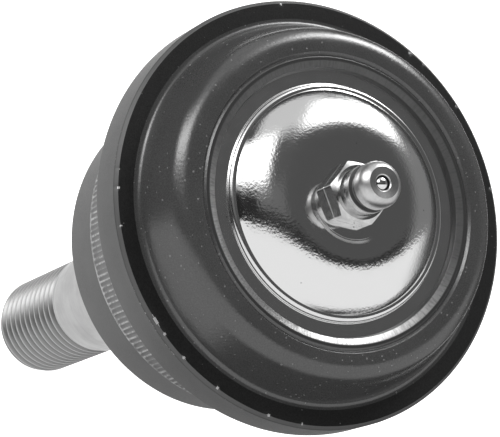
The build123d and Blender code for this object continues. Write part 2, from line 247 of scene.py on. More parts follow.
def between(start, end, steps):
    """Evenly spaced values from start to just before end."""
    return [start + (end - start) * step / steps for step in range(steps)]


def round_angles(steps):
    """Angles once round the axis, as a row."""
    return (np.arange(steps) * FULL_TURN / steps)[None, :]


# Node building


class Signal:
    """What one output of a node gives, so that plain arithmetic can carry it on."""

    def __init__(self, socket):
        self.socket = socket
        self.tree = socket.id_data

    def __add__(self, other):
        return calculate("ADD", self, other)

    def __sub__(self, other):
        return calculate("SUBTRACT", self, other)

    def __rsub__(self, other):
        return calculate("SUBTRACT", other, self)

    def __mul__(self, other):
        return calculate("MULTIPLY", self, other)

    def __rmul__(self, other):
        return calculate("MULTIPLY", other, self)

    def __truediv__(self, other):
        return calculate("DIVIDE", self, other)

    def __rtruediv__(self, other):
        return calculate("DIVIDE", other, self)

    def __pow__(self, other):
        return calculate("POWER", self, other)

    def clamped(self):
        """The same signal, kept between 0 and 1 by the node that makes it."""
        self.socket.node.use_clamp = True
        return self


def feed(socket, value):
    """Links a signal to an input, or sets the input to a fixed value."""
    if isinstance(value, Signal):
        value.tree.links.new(value.socket, socket)
    else:
        socket.default_value = value


def place(tree, kind, inputs=None, **settings):
    """A new node with its settings made and its inputs fed."""
    made = tree.nodes.new(kind)
    for name, value in settings.items():
        setattr(made, name, value)
    for key, value in (inputs or {}).items():
        feed(made.inputs[key], value)
    return made


def output(node, key=0):
    """One output of a node, as a signal."""
    return Signal(node.outputs[key])


def calculate(operation, *values):
    """The result of a math node, in the tree of the signals among its values."""
    tree = next(value.tree for value in values if isinstance(value, Signal))
    return output(place(tree, "ShaderNodeMath", dict(enumerate(values)), operation=operation))


def vector(x, y, z=0.0):
    """A vector from its three parts."""
    return output(place(x.tree, "ShaderNodeCombineXYZ", {"X": x, "Y": y, "Z": z}))


def vector_math(tree, operation, inputs, key):
    """One output of a vector math node."""
    return output(place(tree, "ShaderNodeVectorMath", inputs, operation=operation), key)


def remap(value, low, high, to_low=0.0, to_high=1.0):
    """A signal mapped from one range to another, with soft ends."""
    inputs = {"Value": value, "From Min": low, "From Max": high, "To Min": to_low, "To Max": to_high}
    return output(place(value.tree, "ShaderNodeMapRange", inputs, interpolation_type="SMOOTHSTEP"), "Result")


def noise(spot, scale, detail=2.0, roughness=0.5):
    """A noise signal, with its scale in features per millimetre."""
    inputs = {"Vector": spot, "Scale": scale, "Detail": detail, "Roughness": roughness}
    return output(place(spot.tree, "ShaderNodeTexNoise", inputs), "Fac")


def grey(value):
    """A neutral colour."""
    return (value, value, value, 1)


def mix_color(share, first, second):
    """A colour between two colours."""
    colors = {"Factor": share, 6: first, 7: second}
    return output(place(share.tree, "ShaderNodeMix", colors, data_type="RGBA"), 2)


def bump(height, depth):
    """A normal from a height, with the depth in millimetres."""
    return output(place(height.tree, "ShaderNodeBump", {"Height": height, "Distance": depth * MM}), "Normal")


Place = namedtuple("Place", "spot x radius height turn")


def object_place(tree):
    """Where a surface point is on its piece: a vector and its parts, in millimetres and radians."""
    metres = output(place(tree, "ShaderNodeTexCoord"), "Object")
    spot = vector_math(tree, "SCALE", {0: metres, "Scale": 1 / MM}, 0)
    split = place(tree, "ShaderNodeSeparateXYZ", {0: spot})
    x, y, height = (output(split, axis) for axis in "XYZ")
    radius = vector_math(tree, "LENGTH", {0: vector(x, y)}, "Value")
    return Place(spot, x, radius, height, calculate("ARCTAN2", y, x))


def toward_turn(at, turn):
    """One on the side at this turn round the axis, and minus one on the opposite side."""
    return calculate("COSINE", at.turn - turn)


# Shared effects


def shared_effect(**defaults):
    """Turns a function into a node group whose inputs have these names and values."""

    def make_group(draw):
        group = bpy.data.node_groups.new(draw.__name__, "ShaderNodeTree")
        sockets = group.interface
        for label, value in defaults.items():
            sockets.new_socket(label, in_out="INPUT", socket_type="NodeSocketFloat").default_value = value
        entry = group.nodes.new("NodeGroupInput")
        results = draw(group, **{label.lower(): output(entry, label) for label in defaults})
        for label in results:
            sockets.new_socket(label, in_out="OUTPUT", socket_type="NodeSocketFloat")
        end = group.nodes.new("NodeGroupOutput")
        for label, value in results.items():
            feed(end.inputs[label], value)
        return group

    return make_group


def effect(tree, group, key, **values):
    """Places a shared effect with its own values, and gives one of its outputs."""
    return output(place(tree, "ShaderNodeGroup", values, node_tree=group), key)


@shared_effect(Radius=30.0, Height=0.0, Reach=0.4, Grain=1.5, Cover=0.5)
def edge_wear(tree, radius, height, reach, grain, cover):
    """Bare metal along a turned edge at one radius and height, broken up as handling leaves it."""
    at = object_place(tree)
    off_radius = at.radius - radius
    off_height = at.height - height
    distance = calculate("SQRT", off_radius * off_radius + off_height * off_height)
    near = (1.0 - distance / reach).clamped()
    ragged = noise(at.spot, grain, 5.0, 0.7)
    patches = noise(at.spot, 0.12)
    level = near * 0.5 + ragged * 0.6 + patches * 0.5
    limit = 1.25 - cover * 0.5
    bare = ((level - limit) * 12.0).clamped()
    return {"Mask": bare * calculate("CEIL", near)}


@shared_effect(Size=0.5, Grain=0.5)
def orange_peel(tree, size, grain):
    """The gentle pebbling of a plated or sprayed surface."""
    spot = object_place(tree).spot
    coarse = noise(spot, 1.0 / size, 1.0)
    fine = noise(spot, 3.4 / size)
    return {"Height": fine * grain + coarse}


@shared_effect(Spacing=0.2, Waviness=0.3)
def turning_marks(tree, spacing, waviness):
    """Fine rings that a lathe tool leaves round the axis, in height and in shade."""
    at = object_place(tree)
    across = (at.radius + at.height) / spacing
    down = (at.radius - at.height) / spacing
    rings = vector(across, down, at.turn * waviness)
    fine = noise(rings, 1.0, 3.0, 0.6)
    broad = noise(rings, 0.17, 1.0)
    return {"Height": fine, "Shade": fine * 0.6 + broad * 0.4}


@shared_effect(Size=0.3, Contrast=1.0)
def speckle(tree, size, contrast):
    """Small uneven grains, as a baked coat or a sintered surface has."""
    grains = noise(object_place(tree).spot, 1.0 / size, 4.0, 0.65)
    return {"Value": (grains - 0.5) * contrast + 0.5}


@shared_effect(Spacing=2.0, Size=0.1)
def dust(tree, spacing, size):
    """Pale specks lying on a surface, of mixed size."""
    spot = object_place(tree).spot
    cells = place(tree, "ShaderNodeTexVoronoi", {"Vector": spot, "Scale": 1.0 / spacing, "Randomness": 1.0})
    chance = output(place(tree, "ShaderNodeSeparateColor", {0: output(cells, "Color")}), "Red")
    speck = chance**3.0 * (size / spacing)
    ragged = noise(spot, 9.0) * 1.6 + 0.2
    return {"Mask": ((speck * ragged - output(cells, "Distance")) * 60.0).clamped()}


@shared_effect(Size=8.0)
def handling(tree, size):
    """Faint smears and rubbed places, much larger than the grain."""
    smears = noise(object_place(tree).spot, 1.0 / size, 5.0, 0.6)
    return {"Value": remap(smears, 0.32, 0.68)}


# Finishes


def material(draw):
    """Turns a function that gives a Principled shader's inputs into a material of its name."""
    made = bpy.data.materials.new(draw.__name__)
    made.use_nodes = True
    shader = made.node_tree.nodes["Principled BSDF"]
    for label, value in draw(made.node_tree).items():
        feed(shader.inputs[label], value)
    return made


@material
def satin_coat(tree):
    """Baked dark grey coat on the bulge, satin, with a fine grain and a little dust."""
    grain = effect(tree, speckle, "Value", Size=0.18, Contrast=1.8)
    smears = effect(tree, handling, "Value", Size=7.0)
    specks = effect(tree, dust, "Mask", Spacing=0.6, Size=0.16)
    peel = effect(tree, orange_peel, "Height", Size=0.4, Grain=0.3)
    coat = mix_color(grain, grey(0.034), grey(0.085))
    return {
        "Base Color": mix_color(specks * 0.35, coat, grey(0.40)),
        "Roughness": remap(smears, 0, 1, 0.19, 0.27),
        "Normal": bump(peel + specks, 0.018),
        "Specular IOR Level": 1.0,
    }


@material
def black_face(tree):
    """Matt black front ring of the flange, chipped to bare steel along its edge."""
    grain = effect(tree, speckle, "Value", Size=0.22, Contrast=2.6)
    specks = effect(tree, dust, "Mask", Spacing=0.8, Size=0.11)
    worn = effect(tree, edge_wear, "Mask", Radius=FLANGE_RADIUS - 0.1, Height=FLANGE_THICKNESS - 0.2,
                  Reach=0.7, Grain=2.6, Cover=0.22)
    coat = mix_color(grain, grey(0.002), grey(0.014))
    dusty = mix_color(specks * 0.45, coat, grey(0.3))
    return {
        "Base Color": mix_color(worn, dusty, grey(0.5)),
        "Metallic": worn,
        "Roughness": remap(worn, 0, 1, 0.5, 0.35),
        "Normal": bump(grain - worn, 0.012),
        "Specular IOR Level": 0.35,
    }


@material
def collar_grey(tree):
    """Grey phosphated steel of the flange's side, collar and body, with painted light making the chamfer
    paler.
    """
    grain = effect(tree, speckle, "Value", Size=0.25, Contrast=1.5)
    smears = effect(tree, handling, "Value", Size=5.0)
    marks = effect(tree, turning_marks, "Height", Spacing=0.25, Waviness=0.6)
    chamfer_foot = FLANGE_THICKNESS - FLANGE_CHAMFER
    worn = effect(tree, edge_wear, "Mask", Radius=FLANGE_RADIUS, Height=chamfer_foot,
                  Reach=0.7, Grain=2.4, Cover=0.25)
    # Painted light: the chamfer is given a paler grey than the rest of the side
    on_chamfer = remap(object_place(tree).height, chamfer_foot, FLANGE_THICKNESS - 0.7 * FLANGE_CHAMFER)
    base = mix_color(grain, grey(0.06), grey(0.11))
    smeared = mix_color(smears, base, grey(0.075))
    cut = mix_color(on_chamfer, smeared, grey(0.12))
    return {
        "Base Color": mix_color(worn, cut, grey(0.6)),
        "Metallic": 0.4,
        "Roughness": remap(grain, 0, 1, 0.42, 0.58),
        "Normal": bump(grain + marks, 0.006),
    }


@material
def knurl_steel(tree):
    """Rolled straight knurling, bright on its narrow crests, which the arm has rubbed unevenly."""
    at = object_place(tree)
    crest = remap(at.radius, COLLAR_RADIUS - 0.6 * KNURL_DEPTH, COLLAR_RADIUS - 0.1 * KNURL_DEPTH)
    grain = effect(tree, speckle, "Value", Size=0.3, Contrast=1.5)
    rubbed = remap(noise(at.spot, 1.5, 3.0), 0.34, 0.62, 0.15, 1.0)
    bead = effect(tree, edge_wear, "Mask", Radius=COLLAR_RADIUS, Height=KNURL_END,
                  Reach=0.35, Grain=1.6, Cover=0.5)
    bright = calculate("MAXIMUM", crest * rubbed, bead)
    base = mix_color(grain, grey(0.08), grey(0.13))
    return {
        "Base Color": mix_color(bright, base, grey(0.36)),
        "Metallic": remap(bright, 0, 1, 0.4, 0.8),
        "Roughness": 0.4,
        "Normal": bump(grain, 0.012),
    }


@material
def rolled_lip(tree):
    """Coated lip rolled over the cover plate, its cone rubbed down to the steel on one side."""
    at = object_place(tree)
    rub_side = remap(toward_turn(at, LIP_RUB_TURN), -0.1, 0.7, 0.12, 1.0)
    above_edge = remap(at.height, LIP_EDGE_HEIGHT - 0.15, LIP_EDGE_HEIGHT + 0.05)
    inside_crown = remap(at.radius, LIP_CROWN_RADIUS + 0.15, LIP_CROWN_RADIUS - 0.05)
    streaks = noise(vector(at.turn * 60.0, at.radius * 0.6), 1.0, 4.0, 0.7)
    bare = rub_side * above_edge * inside_crown * remap(streaks, 0.3, 0.6, 0.5, 1.0)
    grain = effect(tree, speckle, "Value", Size=0.15, Contrast=1.6)
    marks = effect(tree, turning_marks, "Height", Spacing=0.12, Waviness=0.5)
    coat = mix_color(grain, grey(0.02), grey(0.05))
    return {
        "Base Color": mix_color(bare, coat, grey(0.55)),
        "Metallic": bare,
        "Roughness": remap(grain, 0, 1, 0.26, 0.4),
        "Normal": bump(marks, 0.008),
    }


@material
def bare_steel(tree):
    """Bare steel where a knock has chipped the coat off."""
    grain = effect(tree, speckle, "Value", Size=0.12, Contrast=2.0)
    color = mix_color(grain, grey(0.35), grey(0.7))
    return {"Base Color": color, "Metallic": 0.9, "Roughness": 0.4, "Normal": bump(grain, 0.03)}


@material
def chrome_plate(tree):
    """Bright plate over pressed sheet, with fine orange peel and a few rings rubbed beside the nipple."""
    at = object_place(tree)
    past_plateau = remap(at.radius, PLATEAU_RADIUS - 0.6, PLATEAU_RADIUS + 1.6, 0.1, 1.0)
    before_edge = remap(at.radius, DOME_EDGE_RADIUS, DOME_EDGE_RADIUS - 0.6, 0.1, 1.0)
    bent = past_plateau * before_edge
    rim_dullness = remap(at.radius, DOME_EDGE_RADIUS - 0.1, COVER_STEP_RADIUS - 0.7, 0, 0.1)
    peel = effect(tree, orange_peel, "Height", Size=0.36, Grain=0.12)
    strokes = effect(tree, turning_marks, "Height", Spacing=0.4, Waviness=9.0)
    smears = effect(tree, handling, "Value", Size=3.0)
    specks = effect(tree, dust, "Mask", Spacing=2.0, Size=0.16)
    rings = effect(tree, turning_marks, "Shade", Spacing=0.16, Waviness=0.3)
    rub_band = remap(calculate("ABSOLUTE", at.radius - NIPPLE_RUB_RADIUS), 0.6, 0.3)
    rub_side = remap(toward_turn(at, LIP_RUB_TURN), 0.6, 0.9)
    rub = rub_band * rub_side * remap(rings, 0.46, 0.56)
    return {
        "Base Color": mix_color(specks * 0.8, grey(0.86), grey(0.3)),
        "Metallic": 1.0,
        "Roughness": bent * 0.07 + rim_dullness + remap(smears, 0, 1, 0.04, 0.08) + rub * 0.4,
        "Normal": bump((strokes * 0.35 + peel) * bent, 0.02),
    }


@material
def nipple_plate(tree):
    """Satin plated, turned nipple, brightest on the hexagon."""
    marks = effect(tree, turning_marks, "Height", Spacing=0.1, Waviness=0.4)
    smears = effect(tree, handling, "Value", Size=1.6)
    grain = effect(tree, speckle, "Value", Size=0.2, Contrast=1.2)
    turned_part = remap(object_place(tree).height, HEXAGON_TOP, NIPPLE_NOSE - 2.4, 0.1, 0.3)
    return {
        "Base Color": mix_color(smears, grey(0.72), grey(0.56)),
        "Metallic": 1.0,
        "Roughness": grain * 0.12 + turned_part,
        "Normal": bump(marks, 0.006),
    }


@material
def nose_steel(tree):
    """Dull face of the nipple's nose, also laid on the waist under the head as grease and painted shade."""
    grain = effect(tree, speckle, "Value", Size=0.12, Contrast=1.6)
    color = mix_color(grain, grey(0.12), grey(0.26))
    return {"Base Color": color, "Metallic": 0.8, "Roughness": 0.42, "Normal": bump(grain, 0.01)}


@material
def mouth_steel(tree):
    """Dark wall of the nipple's bore: grease and painted shade."""
    grain = effect(tree, speckle, "Value", Size=0.2, Contrast=1.4)
    color = mix_color(grain, grey(0.02), grey(0.05))
    return {"Base Color": color, "Metallic": 0.3, "Roughness": 0.4, "Normal": bump(grain, 0.01)}


@material
def ball_steel(tree):
    """Polished hardened ball."""
    smears = effect(tree, handling, "Value", Size=0.8)
    color = mix_color(smears, grey(0.9), grey(0.8))
    return {"Base Color": color, "Metallic": 1.0, "Roughness": remap(smears, 0, 1, 0.05, 0.12)}


@material
def stud_steel(tree):
    """Bright turned steel of the stud's shank and ball."""
    marks = effect(tree, turning_marks, "Height", Spacing=0.16, Waviness=0.5)
    shade = effect(tree, turning_marks, "Shade", Spacing=0.5, Waviness=0.4)
    smears = effect(tree, handling, "Value", Size=5.0)
    return {
        "Base Color": mix_color(shade, grey(0.24), grey(0.38)),
        "Metallic": 1.0,
        "Roughness": remap(smears, 0, 1, 0.34, 0.46),
        "Normal": bump(marks, 0.008),
    }


@material
def thread_steel(tree):
    """Rolled thread with painted shade: darker in its roots, and a painted shadow on one side of its end."""
    at = object_place(tree)
    crest = remap(at.radius, THREAD_RADIUS - THREAD_DEPTH, THREAD_RADIUS)
    grain = effect(tree, speckle, "Value", Size=0.25, Contrast=1.3)
    # Painted shade: the thread's roots are darker than its crests
    base = mix_color(crest, grey(0.17), grey(0.34))
    worn = mix_color(grain * 0.3, base, grey(0.22))
    # Painted shadow: a dark, rough patch on one side of the thread's end
    near_end = remap(at.height, THREAD_END - 0.6, STUD_END + 0.4)
    painted_end_shade = near_end * remap(toward_turn(at, END_SHADE_TURN), 0.8, 0.98)
    return {
        "Base Color": mix_color(painted_end_shade, worn, grey(0.01)),
        "Metallic": 1.0 - painted_end_shade,
        "Roughness": remap(painted_end_shade, 0, 1, 0.38, 0.9),
        "Normal": bump(grain, 0.008),
    }


@material
def spring_steel(tree):
    """Oiled spring steel, brown-grey."""
    smears = effect(tree, handling, "Value", Size=3.0)
    color = mix_color(smears, (0.20, 0.19, 0.18, 1), (0.33, 0.32, 0.31, 1))
    return {"Base Color": color, "Metallic": 1.0, "Roughness": remap(smears, 0, 1, 0.3, 0.45)}


@material
def ring_steel(tree):
    """Bright drawn wire and strip."""
    marks = effect(tree, turning_marks, "Height", Spacing=0.1, Waviness=0.2)
    smears = effect(tree, handling, "Value", Size=3.0)
    color = mix_color(smears, grey(0.5), grey(0.68))
    return {"Base Color": color, "Metallic": 1.0, "Roughness": 0.28, "Normal": bump(marks, 0.004)}


@material
def sintered_iron(tree):
    """Oil-filled sintered iron, dark and slightly warm."""
    grain = effect(tree, speckle, "Value", Size=0.15, Contrast=2.2)
    color = mix_color(grain, (0.10, 0.09, 0.08, 1), (0.24, 0.22, 0.19, 1))
    return {"Base Color": color, "Metallic": 0.8, "Roughness": 0.5, "Normal": bump(grain, 0.02)}


@material
def boot_rubber(tree):
    """Moulded black rubber, matt, with a bloom and a little dust."""
    grain = effect(tree, speckle, "Value", Size=0.2, Contrast=1.4)
    bloom = effect(tree, handling, "Value", Size=9.0)
    specks = effect(tree, dust, "Mask", Spacing=2.2, Size=0.2)
    rubber = mix_color(bloom, grey(0.014), grey(0.024))
    return {
        "Base Color": mix_color(specks * 0.4, rubber, grey(0.3)),
        "Roughness": remap(grain, 0, 1, 0.5, 0.7),
        "Normal": bump(grain, 0.015),
        "Specular IOR Level": 0.4,
    }


@material
def white_floor(tree):
    """White paper, which glows less for reflections towards the dark side of the room."""
    seen_direct = output(place(tree, "ShaderNodeLightPath"), "Is Camera Ray")
    glow = calculate("MAXIMUM", remap(object_place(tree).x, 62, 12, 0.1, 0.9), seen_direct)
    return {
        "Base Color": grey(0.8),
        "Roughness": 0.9,
        "Emission Color": mix_color(glow, grey(0.0), grey(1.0)),
        "Emission Strength": 0.9,
    }


# Housing


def make_housing():
    """The forging: lip, bulge, flange, knurled collar, body, boot neck and bore in one skin."""
    lip, satin, black, side, knurl, inside, bare = range(7)
    materials = [rolled_lip, satin_coat, black_face, collar_grey, knurl_steel, stud_steel, bare_steel]
    face = FLANGE_THICKNESS
    chamfer_radius = FLANGE_RADIUS - FLANGE_CHAMFER
    chip_rows_inward = (2.0, 1.2, 0.9, 0.7)
    chip_rows_down = (0.75, 1.0, 1.4, 2.2)
    knurl_rows = (
        *between(-LAND_LENGTH - 0.4, -LAND_LENGTH - 2.4, 5),
        *between(-LAND_LENGTH - 2.4, KNURL_END + 0.6, 6),
        KNURL_END + 0.6,
        KNURL_END + 0.2,
    )
    corners = [
        (LIP_OPENING_RADIUS, COVER_TOP, 0, lip),
        (LIP_EDGE_RADIUS, LIP_EDGE_HEIGHT, 0.15, lip),
        (LIP_CROWN_RADIUS, LIP_TOP, 0.15, lip),
        (LIP_RADIUS, LIP_TOP, 0.12, satin),
        (LIP_RADIUS + 0.35, LIP_TOP - 0.25, 0.1, satin),
        (LIP_RADIUS + 0.7, BULGE_TOP, 0.12, satin),
        (BULGE_SHOULDER_RADIUS, BULGE_TOP, 3.0, satin),
        (BULGE_FOOT_RADIUS, face, 0.7, satin),
        (BULGE_FOOT_RADIUS + 0.8, face, 0, black),
        *((FLANGE_RADIUS - inward, face, 0, black) for inward in chip_rows_inward),
        (chamfer_radius, face, 0.08, side),
        (chamfer_radius + 0.14, face - 0.14, 0, side),
        (FLANGE_RADIUS, face - FLANGE_CHAMFER, 0.08, side),
        *((FLANGE_RADIUS, face - down, 0, side) for down in chip_rows_down),
        (FLANGE_RADIUS, 0, 0.3, side),
        (COLLAR_RADIUS, 0, 0, side),
        (COLLAR_RADIUS, -LAND_LENGTH, 0, knurl),
        *((COLLAR_RADIUS, height, 0, knurl) for height in knurl_rows),
        (COLLAR_RADIUS, KNURL_END, 0, side),
        (BODY_RADIUS, KNURL_END, 0, side),
        (BODY_RADIUS, BODY_END + BODY_CHAMFER, 0.1, side),
        (BODY_RADIUS - BODY_CHAMFER, BODY_END, 0.1, side),
        (BOOT_GROOVE_RADIUS, BODY_END, 0, side),
        (BOOT_GROOVE_RADIUS, BOOT_RIM_TOP, 0, side),
        (BOOT_RIM_RADIUS, BOOT_RIM_TOP, 0.25, side),
        (BOOT_RIM_RADIUS, HOUSING_END, 0.25, side),
        (OPENING_END_RADIUS, HOUSING_END, 0, inside),
        (OPENING_TOP_RADIUS, SEAT_FOOT, 0, inside),
        (BORE_RADIUS, SEAT_FOOT, 0, inside),
        (BORE_RADIUS, COVER_BOTTOM, 0, inside),
        (COVER_RADIUS, COVER_BOTTOM, 0, inside),
        (COVER_RADIUS, COVER_TOP, 0, inside),
        (LIP_OPENING_RADIUS, COVER_TOP, 0, inside),
    ]
    points, finishes = rounded(corners)
    columns_per_tooth = 6
    angle = round_angles(columns_per_tooth * KNURL_TEETH)
    radius, angle, height = np.broadcast_arrays(points[:, :1], angle, points[:, 1:])
    radius = radius - knurl_cut(angle, height)
    radius, height, chip = with_nicks(radius, angle, height)
    face_finish = np.where(chip[:-1] + chip[1:] > 1.5, bare, finishes[:-1, None])
    skin = Skin()
    skin.add(radius, angle, height, face_finish)
    piece = skin.build("housing_forging", materials, sharp_angle=26)
    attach(piece, "housing")
    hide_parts("housing")


def knurl_cut(angle, height):
    """How deep the knurling's valleys are at each point, a little uneven from tooth to tooth."""
    chance = np.random.default_rng(7)
    tooth_depth = KNURL_DEPTH * chance.uniform(0.75, 1.0, KNURL_TEETH)
    crest_wear = 0.05 * chance.uniform(0, 1, KNURL_TEETH) ** 2
    along = angle / FULL_TURN * KNURL_TEETH
    tooth = np.floor(along + 0.5).astype(int) % KNURL_TEETH
    valley = 2 * np.abs(along - np.floor(along + 0.5))
    short_by = chance.uniform(0, 1.6, KNURL_TEETH)[tooth]
    fade_in = np.clip((-LAND_LENGTH - short_by - height) / 0.5, 0, 1)
    fade_out = np.clip((height - KNURL_END) / 0.6, 0, 1)
    flank = np.clip((valley - KNURL_CREST) / KNURL_FLANK, 0, 1)
    cut = flank * tooth_depth[tooth] + (1 - flank) * crest_wear[tooth]
    in_band = (height < -LAND_LENGTH + 0.001) & (height > KNURL_END - 0.001)
    return cut * in_band * np.minimum(fade_in, fade_out)


# Chips along the flange's front edge: turn in degrees, length and depth in millimetres
EDGE_CHIPS = [
    (-122, 0.5, 0.08),
    (-117, 0.9, 0.08),
    (-107, 0.5, 0.08),
    (-81, 5.0, 0.14),
    (-77, 1.6, 0.10),
    (-69, 1.8, 0.12),
    (-57, 0.9, 0.14),
    (-41, 1.6, 0.10),
    (-31, 0.7, 0.08),
    (76, 0.7, 0.12),
    (101, 0.6, 0.12),
    (116, 0.5, 0.12),
    (121, 1.0, 0.20),
    (163, 1.0, 0.10),
]


def with_nicks(radius, angle, height):
    """Presses the chips into the flange's front edge, and says how deep inside one each point is."""
    corner_reach = 0.3
    near_edge = (radius > FLANGE_RADIUS - 1.5) & (height > FLANGE_THICKNESS - 2.0)
    inward = (FLANGE_RADIUS - FLANGE_CHAMFER - radius) / corner_reach
    down = (FLANGE_THICKNESS - height) / corner_reach
    press = np.zeros(radius.shape)
    chip = np.zeros(radius.shape)
    for turn, length, depth in EDGE_CHIPS:
        off_turn = (angle - radians(turn) + pi) % FULL_TURN - pi
        across = 2 * off_turn * FLANGE_RADIUS / length
        share = near_edge * np.exp(-2 * across**2 - inward**2 - down**2)
        press += depth * share
        chip = np.maximum(chip, share)
    return radius - press, height - press, chip


# Cover plate


def dome_arc(thickness, steps):
    """Points along the cover's round shoulder, from the flat top out to the step, this deep in the sheet."""
    run = DOME_EDGE_RADIUS - PLATEAU_RADIUS
    rise = NIPPLE_SEAT_HEIGHT - DOME_EDGE_HEIGHT
    bend = (run**2 + rise**2) / (2 * rise)
    lean = np.linspace(0, asin(run / bend), steps)
    radius = PLATEAU_RADIUS + (bend - thickness) * np.sin(lean)
    height = NIPPLE_SEAT_HEIGHT - bend + (bend - thickness) * np.cos(lean)
    return np.stack([radius, height], axis=-1)


def make_cover_plate():
    """The pressed and plated cover: flat rim, rounded step, round shoulder and flat top."""
    rim = [
        (COVER_RADIUS, COVER_BOTTOM, 0.1, 0),
        (COVER_RADIUS, COVER_TOP, 0.1, 0),
        (COVER_STEP_RADIUS, COVER_TOP, 0.15, 0),
        (COVER_STEP_RADIUS - 0.05, DOME_EDGE_HEIGHT, 0.64, 0),
        (DOME_EDGE_RADIUS, DOME_EDGE_HEIGHT, 0, 0),
    ]
    points = rounded(rim, arc_step=6)[0]
    neck_top = NIPPLE_SEAT_HEIGHT - COVER_THICKNESS
    neck = np.array([
        (PLATEAU_RADIUS - 0.15, NIPPLE_SEAT_HEIGHT),
        (NIPPLE_SHANK_RADIUS, NIPPLE_SEAT_HEIGHT),
        (NIPPLE_SHANK_RADIUS, neck_top - COVER_NECK_LENGTH),
        (COVER_NECK_RADIUS, neck_top - COVER_NECK_LENGTH),
        (COVER_NECK_RADIUS, neck_top),
    ])
    shoulder = dome_arc(0, 70)[::-1]
    underside = dome_arc(COVER_THICKNESS, 20)
    outline = np.concatenate([points[:-1], shoulder, neck, underside, points[:1]])
    skin = Skin()
    skin.add(outline[:, :1], round_angles(512), outline[:, 1:])
    piece = skin.build("cover_pressing", [chrome_plate])
    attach(piece, "housing")
    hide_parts("cover_plate")


# Grease nipple


def make_nipple():
    """The nipple: hexagon with turned corners, barrel, waist, rounded head and bored nose."""
    plated, nose, mouth = range(3)
    angle = round_angles(240)
    corner_radius = HEXAGON_FLATS / sqrt(3)
    off_flat = (angle - HEXAGON_TURN) % (pi / 3) - pi / 6
    flats = np.minimum(HEXAGON_FLATS / 2 / np.cos(off_flat), corner_radius - 0.06)
    cone = tan(radians(30))
    flat_top = HEXAGON_TOP - np.maximum(flats - HEXAGON_FACE_RADIUS, 0) * cone
    face = np.minimum(flats, HEXAGON_FACE_RADIUS)
    bevel = 0.08
    hexagon_rows = [
        (NIPPLE_SHANK_RADIUS, NIPPLE_SEAT_HEIGHT),
        (flats - bevel, NIPPLE_SEAT_HEIGHT),
        (flats, NIPPLE_SEAT_HEIGHT + bevel),
        (flats, flat_top),
        (face, HEXAGON_TOP),
        (face - 0.5, HEXAGON_TOP),
    ]
    full_row = np.zeros_like(flats)
    radius = np.concatenate([row_radius + full_row for row_radius, row_height in hexagon_rows])
    height = np.concatenate([row_height + full_row for row_radius, row_height in hexagon_rows])
    skin = Skin()
    skin.add(radius, angle, height)
    barrel_radius = 3.35
    waist_radius = 2.65
    head_radius = 3.25
    crown_bend = 1.9
    crown_height = 1.7
    nose_radius = 2.2
    nose_dish = 0.24
    mouth_radius = 1.22
    throat_radius = 1.05
    spring_bore_radius = 1.3
    spring_seat = NIPPLE_SHANK_END + 0.6
    grease_hole_radius = 0.7
    head = NIPPLE_NOSE - crown_height
    waist_end = head - 2.1
    crown = [
        (head_radius - crown_bend * (1 - cos(lean)), head + crown_bend * sin(lean), 0, plated)
        for lean in between(0, asin(crown_height / crown_bend), 12)
    ]
    corners = [
        (barrel_radius - 0.05, HEXAGON_TOP - 0.02, 0, plated),
        (barrel_radius, HEXAGON_TOP + 0.12, 0, plated),
        # The waist under the head takes the dark nose finish: grease and painted shade in the groove
        (barrel_radius, waist_end, 0.12, nose),
        (waist_radius, waist_end, 0.15, nose),
        (waist_radius, head - 1.3, 0.2, nose),
        (head_radius, head - 0.85, 0.08, plated),
        *crown,
        (nose_radius, NIPPLE_NOSE, 0, nose),
        (mouth_radius, NIPPLE_NOSE - nose_dish, 0, plated),
        # The bore's walls take the dark mouth finish: grease and painted shade
        (throat_radius + 0.03, NIPPLE_NOSE - 0.35, 0, mouth),
        (throat_radius, CHECK_BALL_HEIGHT + 0.72, 0, mouth),
        (1.27, CHECK_BALL_HEIGHT, 0, mouth),
        (spring_bore_radius, spring_seat, 0, mouth),
        (grease_hole_radius, spring_seat, 0, plated),
        (grease_hole_radius, NIPPLE_SHANK_END, 0, plated),
        (NIPPLE_SHANK_RADIUS - 0.3, NIPPLE_SHANK_END, 0, plated),
        (NIPPLE_SHANK_RADIUS, NIPPLE_SHANK_END + 0.3, 0, plated),
        (NIPPLE_SHANK_RADIUS, NIPPLE_SEAT_HEIGHT, 0, plated),
    ]
    points, finishes = rounded(corners)
    skin.add(points[:, :1], angle, points[:, 1:], finishes[:-1])
    piece = skin.build("nipple_turning", [nipple_plate, nose_steel, mouth_steel], sharp_angle=24)
    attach(piece, "housing")
    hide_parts("nipple_body")


def make_check_ball():
    """The ball that closes the nipple's mouth."""
    lean = np.linspace(-pi / 2, pi / 2, 33)[:, None]
    height = CHECK_BALL_HEIGHT + CHECK_BALL_RADIUS * np.sin(lean)
    skin = Skin()
    skin.add(CHECK_BALL_RADIUS * np.cos(lean), round_angles(64), height)
    piece = skin.build("check_ball_polished", [ball_steel])
    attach(piece, "check_ball")
    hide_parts("nipple_check_ball")


# Stud

# Angles once round the stud, with the first again at the end, because the thread climbs as it turns
STUD_ANGLES = np.linspace(0, FULL_TURN, 145)[None, :]


def thread_profile(share):
    """Depth of the thread at a share of its pitch: flat crest, sloping sides and rounded root."""
    off_crest = np.abs((share + 0.5) % 1 - 0.5)
    side = np.clip((off_crest - 0.11) / 0.3, 0, 1)
    return THREAD_DEPTH * (side - 0.12 * side**6)


